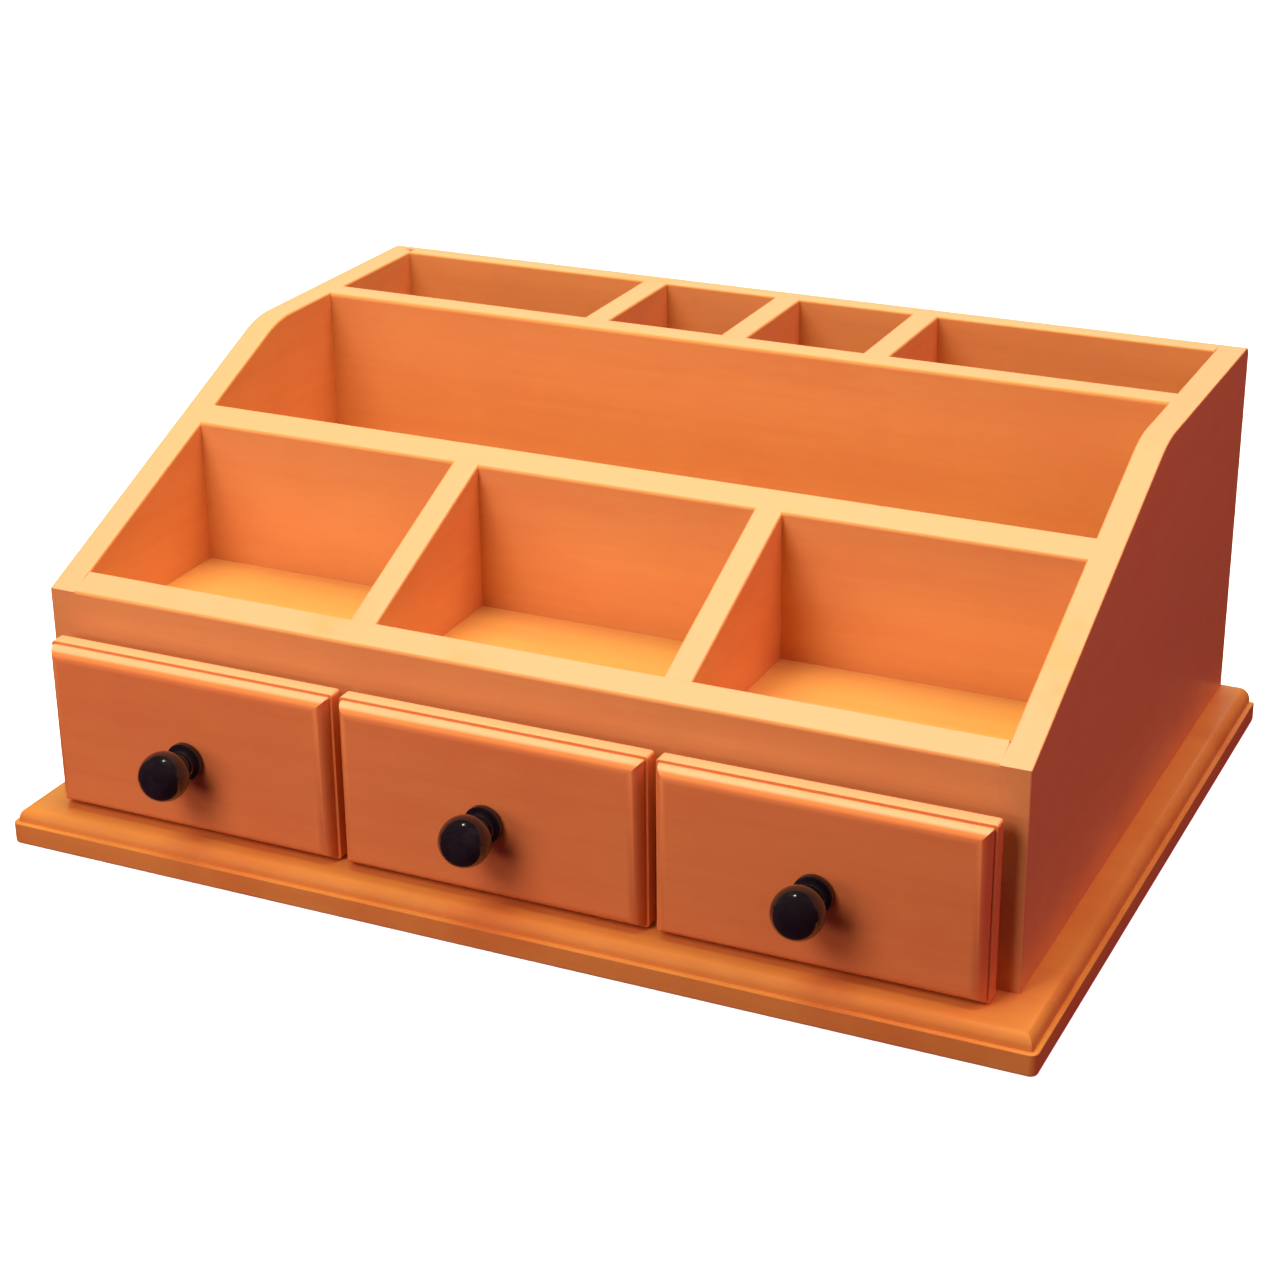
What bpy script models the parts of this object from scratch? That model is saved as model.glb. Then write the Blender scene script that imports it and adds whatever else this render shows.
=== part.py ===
"""
Desk chest with three drawers and eight open compartments.

A moulded base board carries a box of thin boards. The two sides slope up from the drawers to a soft knee
and run level to the back. Cross boards and short dividers between the sides make the compartments, and
three drawers with moulded overlay fronts and ball knobs slide on the base board.

Lengths are metres, +Z is up, -Y is the front and +X the right-hand side seen from the front. The origin
is at the middle of the whole chest on the surface that it stands on. The body stands a little to the left
on its base board.
"""
import math

import bmesh
import bpy
import numpy as np

# Body: the box of boards that stands on the base
BODY_WIDTH = 0.330
BODY_DEPTH = 0.234
BODY_FRONT_HEIGHT = 0.0713
BODY_BACK_HEIGHT = 0.1261
KNEE_DEPTH = 0.1305
KNEE_RADIUS = 0.035
BACK_CORNER_RADIUS = 0.003
BOARD = 0.0095
ARRIS = 0.0007

# Compartments over the drawers
BAY_HEIGHT = 0.0486
SHELF_THICKNESS = 0.006
HOUSING_DEPTH = 0.0025
FRONT_BIN_DEPTH = 0.0682
LETTER_BIN_DEPTH = 0.0786
SMALL_BIN_WIDTH = 0.0428
REAR_ROUND = 0.0018

# Base board and its moulded edge
BASE_THICKNESS = 0.0122
BASE_FRONT_OVERHANG = 0.0226
BASE_LEFT_OVERHANG = 0.0078
BASE_RIGHT_OVERHANG = 0.0122
BASE_CORNER_RADIUS = 0.0025
BASE_EDGE_HEIGHT = 0.0073
BASE_LEDGE = 0.0017
BASE_QUIRK = 0.0008
BASE_ROUND = 0.0042
BASE_FOOT_EASE = 0.0008

# Drawer fronts
DRAWER_COUNT = 3
FRONT_HEIGHT = 0.0571
FRONT_THICKNESS = 0.0095
FRONT_LIP = 0.0048
FRONT_QUIRK = 0.0010
FRONT_ROUND = 0.0040
FRONT_GAP = 0.0024
FRONT_STAND_OFF = 0.0049
FRONT_BASE_CLEARANCE = 0.0006
FRONT_CORNER_RADIUS = 0.0012
LIP_EASE = 0.0003

# Drawer boxes
WALL = 0.006
FLOOR = 0.003
FLOOR_RISE = 0.004
GROOVE_DEPTH = 0.003
SIDE_PLAY = 0.0012
TOP_PLAY = 0.002
SLIDE_GAP = 0.0003
STOP_GAP = 0.0003

# Knobs and the screws that hold them
KNOB_BALL_RADIUS = 0.0081
KNOB_REACH = 0.0127
KNOB_FLANGE_RADIUS = 0.0063
KNOB_FLANGE_THICKNESS = 0.0022
KNOB_FLANGE_EASE = 0.0006
KNOB_NECK_RADIUS = 0.0040
KNOB_COVE = 0.0012
KNOB_DROP = 0.0018
KNOB_BORE_DEPTH = 0.0090
KNOB_SCREW_RADIUS = 0.0018
KNOB_SCREW_GRIP = 0.0075
KNOB_SCREW_HEAD_RADIUS = 0.0037
KNOB_SCREW_HEAD_HEIGHT = 0.0024

# Countersunk screws that hold the base board to the body
BASE_SCREW_RADIUS = 0.0016
BASE_SCREW_HEAD_RADIUS = 0.0034
BASE_SCREW_HEAD_HEIGHT = 0.0022
BASE_SCREW_RIM = 0.0004
BASE_SCREW_LENGTH = 0.028
BASE_SCREW_POINT = 0.0025
BASE_SCREW_RECESS = 0.0004

# Clearances: between glued boards, and round a screw in its hole
JOINT_GAP = 0.0003
HOLE_GAP = 0.0003
OVERRUN = 0.002
MERGE_DISTANCE = 0.00001

# Places along a board, as shares of its length
SIDE_SCREW_SHARES = (0.14, 0.50, 0.86)
PARTITION_SCREW_SHARES = (0.25, 0.75)
BACK_SCREW_SHARES = (0.20, 0.80)

# Facets of the curved outlines
KNEE_STEPS = 8
CORNER_STEPS = 4
ROUND_STEPS = 5
ARRIS_STEPS = 2
TURNED_STEPS = 28
SCREW_STEPS = 12
SMOOTH_ANGLE = math.radians(50)
SHARP_ANGLE = math.radians(35)
ALIGNED_SHARE = 0.0001

# Sizes that follow from the ones above
INNER_HALF = BODY_WIDTH / 2 - BOARD
BAY_PITCH = (2 * INNER_HALF + BOARD) / DRAWER_COUNT
BAY_WIDTH = BAY_PITCH - BOARD
FLOOR_LEVEL = BAY_HEIGHT + SHELF_THICKNESS
MIDDLE_FRONT = BOARD + FRONT_BIN_DEPTH
REAR_FRONT = MIDDLE_FRONT + BOARD + LETTER_BIN_DEPTH
BACK_FRONT = BODY_DEPTH - BOARD
SMALL_BIN_PITCH = SMALL_BIN_WIDTH + BOARD
FORWARD_REACH = FRONT_STAND_OFF + FRONT_THICKNESS + JOINT_GAP + KNOB_REACH + KNOB_BALL_RADIUS
BODY_FRONT = (max(FORWARD_REACH, BASE_FRONT_OVERHANG) - BODY_DEPTH) / 2
BODY_MIDDLE = (BASE_LEFT_OVERHANG - BASE_RIGHT_OVERHANG) / 2

# Finishes: colour, roughness and metallic value
ORANGE_PAINT = ((0.70, 0.20, 0.035, 1.0), 0.45, 0.0)
BARE_BOARD = ((0.62, 0.30, 0.10, 1.0), 0.60, 0.0)
BLACK_GLOSS = ((0.006, 0.006, 0.007, 1.0), 0.10, 0.0)
ZINC = ((0.62, 0.62, 0.60, 1.0), 0.35, 1.0)


def clear_scene():
    for item in list(bpy.data.objects):
        bpy.data.objects.remove(item, do_unlink=True)


def paint(piece, finish):
    """Give a piece a material of its own."""
    colour, roughness, metallic = finish
    material = bpy.data.materials.new(piece.name + "_finish")
    material.use_nodes = True
    shader = material.node_tree.nodes["Principled BSDF"]
    shader.inputs["Base Color"].default_value = colour
    shader.inputs["Roughness"].default_value = roughness
    shader.inputs["Metallic"].default_value = metallic
    piece.data.materials.append(material)


def finish_piece(name, bm, finish, parent):
    """Make a named object of a modelled shape, with smooth rounds and crisp corners."""
    bmesh.ops.recalc_face_normals(bm, faces=bm.faces)
    mesh = bpy.data.meshes.new(name)
    bm.to_mesh(mesh)
    bm.free()
    mesh.shade_smooth()
    mesh.set_sharp_from_angle(angle=SMOOTH_ANGLE)
    piece = bpy.data.objects.new(name, mesh)
    bpy.context.collection.objects.link(piece)
    piece.parent = parent
    paint(piece, finish)
    return piece


def make_empty(name, location):
    empty = bpy.data.objects.new(name, None)
    empty.location = location
    bpy.context.collection.objects.link(empty)
    return empty


def make_cutter(name, bm, parent):
    """A shape that only cuts its neighbours."""
    bmesh.ops.recalc_face_normals(bm, faces=bm.faces)
    mesh = bpy.data.meshes.new(name)
    bm.to_mesh(mesh)
    bm.free()
    cutter = bpy.data.objects.new(name, mesh)
    cutter.hide_render = True
    cutter.display_type = "WIRE"
    bpy.context.collection.objects.link(cutter)
    cutter.parent = parent
    return cutter


def cut(piece, cutter):
    modifier = piece.modifiers.new("cut_" + cutter.name, "BOOLEAN")
    modifier.operation = "DIFFERENCE"
    modifier.solver = "EXACT"
    modifier.object = cutter


def extrude_along_x(outline, start, end):
    """A prism between two X places, from an outline of (y, z) points."""
    bm = bmesh.new()
    face = bm.faces.new([bm.verts.new((start, y, z)) for y, z in outline])
    sweep(bm, face, (end - start, 0, 0))
    return bm


def extrude_along_y(outline, start, end):
    """A prism between two Y places, from an outline of (x, z) points."""
    bm = bmesh.new()
    face = bm.faces.new([bm.verts.new((x, start, z)) for x, z in outline])
    sweep(bm, face, (0, end - start, 0))
    return bm


def sweep(bm, face, travel):
    grown = bmesh.ops.extrude_face_region(bm, geom=[face], use_keep_orig=True)
    moved = [item for item in grown["geom"] if isinstance(item, bmesh.types.BMVert)]
    bmesh.ops.translate(bm, verts=moved, vec=travel)
    bmesh.ops.recalc_face_normals(bm, faces=bm.faces)


def add_box(bm, low, high):
    """A closed box between two corners, added to a bmesh."""
    size = [b - a for a, b in zip(low, high)]
    middle = [(a + b) / 2 for a, b in zip(low, high)]
    made = bmesh.ops.create_cube(bm, size=1.0)
    bmesh.ops.scale(bm, verts=made["verts"], vec=size)
    bmesh.ops.translate(bm, verts=made["verts"], vec=middle)


def box(low, high):
    bm = bmesh.new()
    add_box(bm, low, high)
    return bm


def ease(bm, wanted, width=ARRIS):
    """Round over the sharp edges that the test asks for."""
    edges = []
    for edge in bm.edges:
        if edge.calc_face_angle(0.0) > SHARP_ANGLE and wanted(edge):
            edges.append(edge)
    bmesh.ops.bevel(bm, geom=edges, offset=width, offset_type="OFFSET", segments=ARRIS_STEPS,
                    profile=0.5, affect="EDGES", clamp_overlap=True, material=-1)


def edge_low(edge, axis):
    return min(vert.co[axis] for vert in edge.verts)


def edge_high(edge, axis):
    return max(vert.co[axis] for vert in edge.verts)


def runs_along(edge, axis):
    """True when an edge is parallel to an axis."""
    span = edge.verts[1].co - edge.verts[0].co
    return abs(abs(span[axis]) - span.length) < ALIGNED_SHARE * span.length


def top_profile():
    """Side view of the body's upper outline, as (y, z) points from the front corner to the back."""
    slope = math.atan2(BODY_BACK_HEIGHT - BODY_FRONT_HEIGHT, KNEE_DEPTH)
    knee_y = KNEE_DEPTH + KNEE_RADIUS * math.tan(slope / 2)
    knee_z = BODY_BACK_HEIGHT - KNEE_RADIUS
    points = [(0.0, BODY_FRONT_HEIGHT)]
    for step in range(KNEE_STEPS + 1):
        angle = slope * (1 - step / KNEE_STEPS)
        points.append((knee_y - KNEE_RADIUS * math.sin(angle), knee_z + KNEE_RADIUS * math.cos(angle)))
    corner_y = BODY_DEPTH - BACK_CORNER_RADIUS
    corner_z = BODY_BACK_HEIGHT - BACK_CORNER_RADIUS
    for step in range(CORNER_STEPS + 1):
        angle = math.pi / 2 * step / CORNER_STEPS
        points.append((corner_y + BACK_CORNER_RADIUS * math.sin(angle),
                       corner_z + BACK_CORNER_RADIUS * math.cos(angle)))
    return [(y, z + BASE_THICKNESS) for y, z in points]


def board_outline(start, end, bottom):
    """Side view of a board whose top follows the body's outline between two depths."""
    profile = top_profile()
    depths = [y for y, _ in profile]
    heights = [z for _, z in profile]
    inside = [(y, z) for y, z in profile if start + MERGE_DISTANCE < y < end - MERGE_DISTANCE]
    front_top = (start, float(np.interp(start, depths, heights)))
    back_top = (end, float(np.interp(end, depths, heights)))
    return [(start, bottom), (end, bottom), back_top] + inside[::-1] + [front_top]


def rounded_ring(low, high, front_radius, back_radius):
    """Corner points of a rectangle with rounded corners, counted from the front left corner."""
    corners = [(low[0], low[1], 1, 1, front_radius, math.pi),
               (high[0], low[1], -1, 1, front_radius, 1.5 * math.pi),
               (high[0], high[1], -1, -1, back_radius, 0.0),
               (low[0], high[1], 1, -1, back_radius, 0.5 * math.pi)]
    points = []
    for x, y, inward_x, inward_y, radius, first in corners:
        for step in range(CORNER_STEPS + 1):
            angle = first + math.pi / 2 * step / CORNER_STEPS
            points.append((x + inward_x * radius + radius * math.cos(angle),
                           y + inward_y * radius + radius * math.sin(angle)))
    return points


def loft(rings):
    """A closed solid through rings with the same number of points, capped at both ends."""
    bm = bmesh.new()
    rows = [[bm.verts.new(point) for point in ring] for ring in rings]
    for row, following in zip(rows, rows[1:]):
        for index, vert in enumerate(row):
            bm.faces.new((row[index - 1], vert, following[index], following[index - 1]))
    bm.faces.new(rows[0])
    bm.faces.new(rows[-1])
    return bm


def round_over(inset, rise, start_inset, start_rise):
    """A quarter of an ellipse as (inset, rise) points, steep at its start and level at its end."""
    points = []
    for step in range(ROUND_STEPS + 1):
        angle = math.pi / 2 * step / ROUND_STEPS
        points.append((start_inset + inset * (1 - math.cos(angle)), start_rise + rise * math.sin(angle)))
    return points


def turn(profile, steps):
    """Spin a profile of (radius, depth) points about a line along -Y."""
    bm = bmesh.new()
    verts = [bm.verts.new((radius, -depth, 0)) for radius, depth in profile]
    for first, second in zip(verts, verts[1:]):
        bm.edges.new((first, second))
    bmesh.ops.spin(bm, geom=list(bm.verts) + list(bm.edges), cent=(0, 0, 0), axis=(0, 1, 0),
                   angle=2 * math.pi, steps=steps, use_merge=True)
    bmesh.ops.remove_doubles(bm, verts=bm.verts, dist=MERGE_DISTANCE)
    bmesh.ops.recalc_face_normals(bm, faces=bm.faces)
    return bm


def bay_centre(index):
    return (index - (DRAWER_COUNT - 1) / 2) * BAY_PITCH


def divider_centres():
    """Places between neighbouring drawers, used by the boards under and over the shelf."""
    return [bay_centre(index) + BAY_PITCH / 2 for index in range(DRAWER_COUNT - 1)]


def build_base(parent):
    """The base board, with a quirk and a round over on its front and both ends, sawn off square behind."""
    left = -BODY_WIDTH / 2 - BASE_LEFT_OVERHANG
    right = BODY_WIDTH / 2 + BASE_RIGHT_OVERHANG
    round_rise = BASE_THICKNESS - BASE_EDGE_HEIGHT - BASE_QUIRK
    sections = [(BASE_FOOT_EASE, 0.0), (0.0, BASE_FOOT_EASE), (0.0, BASE_EDGE_HEIGHT - BASE_FOOT_EASE / 2),
                (BASE_FOOT_EASE / 2, BASE_EDGE_HEIGHT), (BASE_LEDGE, BASE_EDGE_HEIGHT)]
    sections += round_over(BASE_ROUND, round_rise, BASE_LEDGE, BASE_EDGE_HEIGHT + BASE_QUIRK)
    rings = []
    for inset, height in sections:
        low = (left + inset, -BASE_FRONT_OVERHANG + inset)
        high = (right - inset, BODY_DEPTH + 2 * BASE_CORNER_RADIUS)
        radius = max(BASE_CORNER_RADIUS - inset, BASE_FOOT_EASE)
        ring = rounded_ring(low, high, radius, radius)
        rings.append([(x, y, height) for x, y in ring])
    bm = loft(rings)
    everything = list(bm.verts) + list(bm.edges) + list(bm.faces)
    sawn = bmesh.ops.bisect_plane(bm, geom=everything, plane_co=(0, BODY_DEPTH, 0), plane_no=(0, 1, 0),
                                  clear_outer=True)
    rim = [item for item in sawn["geom_cut"] if isinstance(item, bmesh.types.BMEdge)]
    bmesh.ops.edgenet_fill(bm, edges=rim)
    return finish_piece("base_board", bm, ORANGE_PAINT, parent)


def build_side(name, side, housing, parent):
    """One side board: its outline, its eased edges and the housing that takes the shelf's end."""
    inner = side * INNER_HALF
    outer = side * BODY_WIDTH / 2
    bottom = BASE_THICKNESS + JOINT_GAP
    bm = extrude_along_x(board_outline(0.0, BODY_DEPTH, bottom), inner, outer)
    front_top = BODY_FRONT_HEIGHT + BASE_THICKNESS - ARRIS

    def wanted(edge):
        """All edges of the outer face but the lowest, and the upper edges of the inner face."""
        if edge_high(edge, 2) < bottom + ARRIS:
            return False
        if runs_along(edge, 0):
            return edge_low(edge, 2) > bottom + ARRIS
        on_outer_face = min(abs(vert.co.x) for vert in edge.verts) > INNER_HALF + ARRIS
        return on_outer_face or edge_low(edge, 2) > front_top

    ease(bm, wanted)
    piece = finish_piece(name, bm, ORANGE_PAINT, parent)
    cut(piece, housing)
    return piece


def build_cross_board(name, start, end, bottom, parent, front_round=ARRIS):
    """A board between the two sides whose top follows the sides, its upper front edge eased or rounded."""
    reach = INNER_HALF - JOINT_GAP
    bm = extrude_along_x(board_outline(start, end, bottom), -reach, reach)

    def upper(edge):
        return runs_along(edge, 0) and edge_low(edge, 2) > bottom + ARRIS

    ease(bm, lambda edge: upper(edge) and edge_high(edge, 1) > start + ARRIS)
    ease(bm, lambda edge: upper(edge) and edge_high(edge, 1) < start + ARRIS, front_round)
    return finish_piece(name, bm, ORANGE_PAINT, parent)


def build_divider(name, centre, start, end, parent):
    """A short board that runs from front to back between two cross boards."""
    bottom = BASE_THICKNESS + FLOOR_LEVEL + JOINT_GAP
    outline = board_outline(start + JOINT_GAP, end - JOINT_GAP, bottom)
    bm = extrude_along_x(outline, centre - BOARD / 2, centre + BOARD / 2)
    ease(bm, lambda edge: not runs_along(edge, 0) and edge_low(edge, 2) > bottom + ARRIS)
    return finish_piece(name, bm, ORANGE_PAINT, parent)


def build_shelf(parent):
    """The board over the drawers, with its ends in the sides' housings."""
    reach = INNER_HALF + HOUSING_DEPTH - JOINT_GAP
    low = (-reach, BOARD + JOINT_GAP, BASE_THICKNESS + BAY_HEIGHT)
    high = (reach, BACK_FRONT - JOINT_GAP, BASE_THICKNESS + FLOOR_LEVEL)
    return finish_piece("shelf", box(low, high), ORANGE_PAINT, parent)


def build_housing_cutter(parent):
    reach = INNER_HALF + HOUSING_DEPTH
    low = (-reach, BOARD, BASE_THICKNESS + BAY_HEIGHT - JOINT_GAP)
    high = (reach, BACK_FRONT, BASE_THICKNESS + FLOOR_LEVEL + JOINT_GAP)
    return make_cutter("housing_cutter", box(low, high), parent)


def build_drawer_partition(name, centre, parent):
    """The board between two drawers, from the base board to the shelf."""
    low = (centre - BOARD / 2, 0.0, BASE_THICKNESS + JOINT_GAP)
    high = (centre + BOARD / 2, BACK_FRONT - JOINT_GAP, BASE_THICKNESS + BAY_HEIGHT - JOINT_GAP)
    bm = box(low, high)
    ease(bm, lambda edge: runs_along(edge, 2) and edge_high(edge, 1) < ARRIS)
    return finish_piece(name, bm, ORANGE_PAINT, parent)


def build_body(parent):
    """The boards of the body, without the base board and the drawers."""
    housing = build_housing_cutter(parent)
    sides = [build_side("left_side", -1, housing, parent), build_side("right_side", 1, housing, parent)]
    shelf_top = BASE_THICKNESS + FLOOR_LEVEL + JOINT_GAP
    fascia_bottom = BASE_THICKNESS + BAY_HEIGHT
    build_cross_board("front_fascia", 0.0, BOARD, fascia_bottom, parent)
    build_cross_board("middle_partition", MIDDLE_FRONT, MIDDLE_FRONT + BOARD, shelf_top, parent)
    build_cross_board("rear_partition", REAR_FRONT, REAR_FRONT + BOARD, shelf_top, parent, REAR_ROUND)
    back = build_cross_board("back_panel", BACK_FRONT, BODY_DEPTH, BASE_THICKNESS + JOINT_GAP, parent)
    build_shelf(parent)
    partitions = []
    for number, centre in enumerate(divider_centres(), 1):
        build_divider("front_divider_%d" % number, centre, BOARD, MIDDLE_FRONT, parent)
        partitions.append(build_drawer_partition("drawer_partition_%d" % number, centre, parent))
    for number, centre in enumerate((-SMALL_BIN_PITCH, 0.0, SMALL_BIN_PITCH), 1):
        build_divider("rear_divider_%d" % number, centre, REAR_FRONT + BOARD, BACK_FRONT, parent)
    return sides, partitions, back


def base_screw_places():
    """Middle of each screw under the base board, as (x, y)."""
    places = []
    for side in (-1, 1):
        places += [(side * (BODY_WIDTH - BOARD) / 2, share * BODY_DEPTH) for share in SIDE_SCREW_SHARES]
    for centre in divider_centres():
        places += [(centre, share * BACK_FRONT) for share in PARTITION_SCREW_SHARES]
    for share in BACK_SCREW_SHARES:
        places.append(((share - 0.5) * 2 * INNER_HALF, BODY_DEPTH - BOARD / 2))
    return places


def base_screw_profile(start, gap):
    """Countersunk head, shank and point, as (radius, depth) points; the gap grows it into its hole."""
    cone_start = BASE_SCREW_RECESS + BASE_SCREW_RIM
    cone_end = BASE_SCREW_RECESS + BASE_SCREW_HEAD_HEIGHT
    tip = BASE_SCREW_RECESS + BASE_SCREW_LENGTH
    return [(0.0, start), (BASE_SCREW_HEAD_RADIUS + gap, start), (BASE_SCREW_HEAD_RADIUS + gap, cone_start),
            (BASE_SCREW_RADIUS + gap, cone_end), (BASE_SCREW_RADIUS + gap, tip - BASE_SCREW_POINT),
            (0.0, tip + gap)]


def stand_up(bm, x, y):
    """Turn a shape that was spun about -Y so that it points up at a place on the base board."""
    for vert in bm.verts:
        radial, depth, across = vert.co
        vert.co = (x + radial, y + across, -depth)


def build_base_screws(cut_pieces, parent):
    """The screws, and their holes through the base board and into the boards above it."""
    holes = bmesh.new()
    for number, (x, y) in enumerate(base_screw_places(), 1):
        screw = turn(base_screw_profile(BASE_SCREW_RECESS, 0.0), SCREW_STEPS)
        stand_up(screw, x, y)
        finish_piece("base_screw_%d" % number, screw, ZINC, parent)
        hole = turn(base_screw_profile(-OVERRUN, HOLE_GAP), SCREW_STEPS)
        stand_up(hole, x, y)
        scratch = bpy.data.meshes.new("hole")
        hole.to_mesh(scratch)
        hole.free()
        holes.from_mesh(scratch)
        bpy.data.meshes.remove(scratch)
    cutter = make_cutter("base_screw_cutter", holes, parent)
    for piece in cut_pieces:
        cut(piece, cutter)


def knob_profile():
    """Bore, flange, coved neck and ball, as (radius, depth) points from the drawer front outwards."""
    bore = KNOB_SCREW_RADIUS + HOLE_GAP
    points = [(0.0, KNOB_BORE_DEPTH), (bore, KNOB_BORE_DEPTH), (bore, 0.0),
              (KNOB_FLANGE_RADIUS - KNOB_FLANGE_EASE / 2, 0.0), (KNOB_FLANGE_RADIUS, KNOB_FLANGE_EASE / 2)]
    for step in range(ARRIS_STEPS + 1):
        angle = math.pi / 2 * step / ARRIS_STEPS
        points.append((KNOB_FLANGE_RADIUS - KNOB_FLANGE_EASE * (1 - math.cos(angle)),
                       KNOB_FLANGE_THICKNESS - KNOB_FLANGE_EASE * (1 - math.sin(angle))))
    for step in range(CORNER_STEPS + 1):
        angle = math.pi / 2 * step / CORNER_STEPS
        points.append((KNOB_NECK_RADIUS + KNOB_COVE * (1 - math.sin(angle)),
                       KNOB_FLANGE_THICKNESS + KNOB_COVE * (1 - math.cos(angle))))
    start = math.asin(KNOB_NECK_RADIUS / KNOB_BALL_RADIUS)
    steps = TURNED_STEPS // 2
    for step in range(steps):
        angle = start + (math.pi - start) * step / steps
        points.append((KNOB_BALL_RADIUS * math.sin(angle), KNOB_REACH - KNOB_BALL_RADIUS * math.cos(angle)))
    points.append((0.0, KNOB_REACH + KNOB_BALL_RADIUS))
    return points


def knob_screw_profile():
    """Round head behind the drawer front and a shank that reaches into the knob."""
    head_start = -FRONT_THICKNESS - JOINT_GAP - KNOB_SCREW_HEAD_HEIGHT
    points = [(0.0, head_start)]
    for step in range(1, CORNER_STEPS + 1):
        angle = math.pi / 2 * step / CORNER_STEPS
        points.append((KNOB_SCREW_HEAD_RADIUS * math.sin(angle),
                       head_start + KNOB_SCREW_HEAD_HEIGHT / 2 * (1 - math.cos(angle))))
    points += [(KNOB_SCREW_HEAD_RADIUS, -FRONT_THICKNESS - JOINT_GAP),
               (KNOB_SCREW_RADIUS, -FRONT_THICKNESS - JOINT_GAP),
               (KNOB_SCREW_RADIUS, KNOB_SCREW_GRIP), (0.0, KNOB_SCREW_GRIP)]
    return points


def box_sizes():
    """Named places of a drawer box, measured from its slide empty."""
    half_width = BAY_WIDTH / 2 - SIDE_PLAY
    top = BAY_HEIGHT - TOP_PLAY
    front = -FRONT_STAND_OFF
    back = BACK_FRONT - STOP_GAP
    groove_low = FLOOR_RISE + SLIDE_GAP
    return half_width, top, front, back, groove_low


def build_drawer_front(prefix, parent):
    """The overlay front: a square lip, a quirk and a round over, grooved and bored from behind."""
    half_width, _, front, _, groove_low = box_sizes()
    face_half = (BAY_PITCH - FRONT_GAP) / 2
    low_z = FRONT_BASE_CLEARANCE
    high_z = FRONT_BASE_CLEARANCE + FRONT_HEIGHT
    sections = [(0.0, 0.0), (0.0, FRONT_LIP - LIP_EASE), (LIP_EASE, FRONT_LIP), (FRONT_QUIRK, FRONT_LIP)]
    round_start = FRONT_LIP + LIP_EASE
    sections += round_over(FRONT_ROUND, FRONT_THICKNESS - round_start, FRONT_QUIRK, round_start)
    rings = []
    for inset, depth in sections:
        radius = max(FRONT_CORNER_RADIUS - inset, LIP_EASE)
        low = (-face_half + inset, low_z + inset)
        high = (face_half - inset, high_z - inset)
        ring = rounded_ring(low, high, radius, radius)
        rings.append([(x, front - depth, z) for x, z in ring])
    piece = finish_piece(prefix + "_front", loft(rings), ORANGE_PAINT, parent)

    reach = half_width - WALL + GROOVE_DEPTH
    groove = box((-reach, front - GROOVE_DEPTH, groove_low - JOINT_GAP),
                 (reach, front + OVERRUN, groove_low + FLOOR + JOINT_GAP))
    cut(piece, make_cutter(prefix + "_front_groove_cutter", groove, parent))
    bore_radius = KNOB_SCREW_RADIUS + HOLE_GAP
    bore = turn([(0.0, -OVERRUN), (bore_radius, -OVERRUN), (bore_radius, FRONT_THICKNESS + OVERRUN),
                 (0.0, FRONT_THICKNESS + OVERRUN)], SCREW_STEPS)
    bmesh.ops.translate(bore, verts=bore.verts, vec=(0, front, knob_height()))
    cut(piece, make_cutter(prefix + "_front_bore_cutter", bore, parent))


def knob_height():
    return FRONT_BASE_CLEARANCE + FRONT_HEIGHT / 2 - KNOB_DROP


def build_drawer_side(prefix, side, parent):
    """A side of the drawer box, with the groove that holds the floor."""
    half_width, top, front, back, groove_low = box_sizes()
    outer = side * half_width
    inner = side * (half_width - WALL)
    groove = side * (half_width - WALL + GROOVE_DEPTH)
    outline = [(outer, SLIDE_GAP), (inner, SLIDE_GAP), (inner, groove_low - JOINT_GAP),
               (groove, groove_low - JOINT_GAP), (groove, groove_low + FLOOR + JOINT_GAP),
               (inner, groove_low + FLOOR + JOINT_GAP), (inner, top), (outer, top)]
    bm = extrude_along_y(outline, front + JOINT_GAP, back)
    ease(bm, lambda edge: runs_along(edge, 1) and edge_low(edge, 2) > top - ARRIS)
    name = prefix + ("_left_side" if side < 0 else "_right_side")
    return finish_piece(name, bm, BARE_BOARD, parent)


def build_drawer_back(prefix, parent):
    half_width, top, _, back, groove_low = box_sizes()
    reach = half_width - WALL - JOINT_GAP
    inner = back - WALL
    groove = inner + GROOVE_DEPTH
    outline = [(back, SLIDE_GAP), (inner, SLIDE_GAP), (inner, groove_low - JOINT_GAP),
               (groove, groove_low - JOINT_GAP), (groove, groove_low + FLOOR + JOINT_GAP),
               (inner, groove_low + FLOOR + JOINT_GAP), (inner, top), (back, top)]
    bm = extrude_along_x(outline, -reach, reach)
    ease(bm, lambda edge: runs_along(edge, 0) and edge_low(edge, 2) > top - ARRIS)
    return finish_piece(prefix + "_back", bm, BARE_BOARD, parent)


def build_drawer_floor(prefix, parent):
    """The thin panel that sits in the grooves of the front, the sides and the back."""
    half_width, _, front, back, groove_low = box_sizes()
    reach = half_width - WALL + GROOVE_DEPTH - JOINT_GAP
    low = (-reach, front - GROOVE_DEPTH + JOINT_GAP, groove_low)
    high = (reach, back - WALL + GROOVE_DEPTH - JOINT_GAP, groove_low + FLOOR)
    return finish_piece(prefix + "_floor", box(low, high), BARE_BOARD, parent)


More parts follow.
